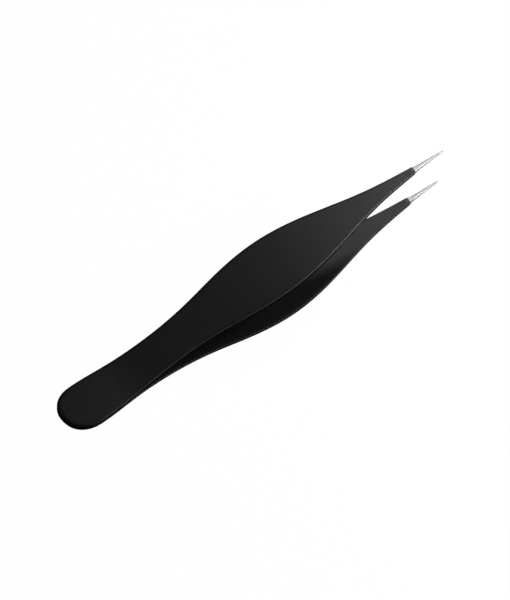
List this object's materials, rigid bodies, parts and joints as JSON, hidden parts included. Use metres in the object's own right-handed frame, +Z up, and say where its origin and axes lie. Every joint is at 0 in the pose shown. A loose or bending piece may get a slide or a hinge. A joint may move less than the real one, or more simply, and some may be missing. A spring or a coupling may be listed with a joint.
{
  "type": "pointed tweezers",
  "caption": "Sprung tweezers with leaf-shaped black coated steel arms, joined at a thin round heel and tapering to bare needle points.",
  "frame": {"origin": "on the table, under the middle of the bounding box, with the tweezers lying at rest on the lower arm", "axes": "+X from the heel to the needle points, +Y across the arms, +Z up from the table towards the upper arm"},
  "size_m": [0.0982, 0.0132, 0.0139],
  "materials": {
    "black_powder_coat": "satin baked powder coat with a very fine texture",
    "bare_steel": "fine ground and bead blasted",
    "fused_steel": "as welded, hidden in the heel"
  },
  "bodies": {
    "heel": {"upper_heel": "bare_steel", "lower_heel": "bare_steel", "rear_weld_nugget": "fused_steel", "front_weld_nugget": "fused_steel", "heel_coating": "black_powder_coat"},
    "upper_arm": {"upper_blade": "bare_steel", "upper_blade_coating": "black_powder_coat"},
    "lower_arm": {"lower_blade": "bare_steel", "lower_blade_coating": "black_powder_coat"}
  },
  "joints": [
    {"name": "upper_arm_flex", "type": "hinge", "parent": "heel", "child": "upper_arm", "pos_m": [-0.02423, 0, 0.0043], "axis": [0, 1, 0], "range_deg": [0, 3.8], "stiffness_Nm_per_rad": 1.8},
    {"name": "lower_arm_flex", "type": "hinge", "parent": "heel", "child": "lower_arm", "pos_m": [-0.02398, 0, 0.00128], "axis": [0, -1, 0], "range_deg": [0, 3.8], "stiffness_Nm_per_rad": 1.8}
  ]
}
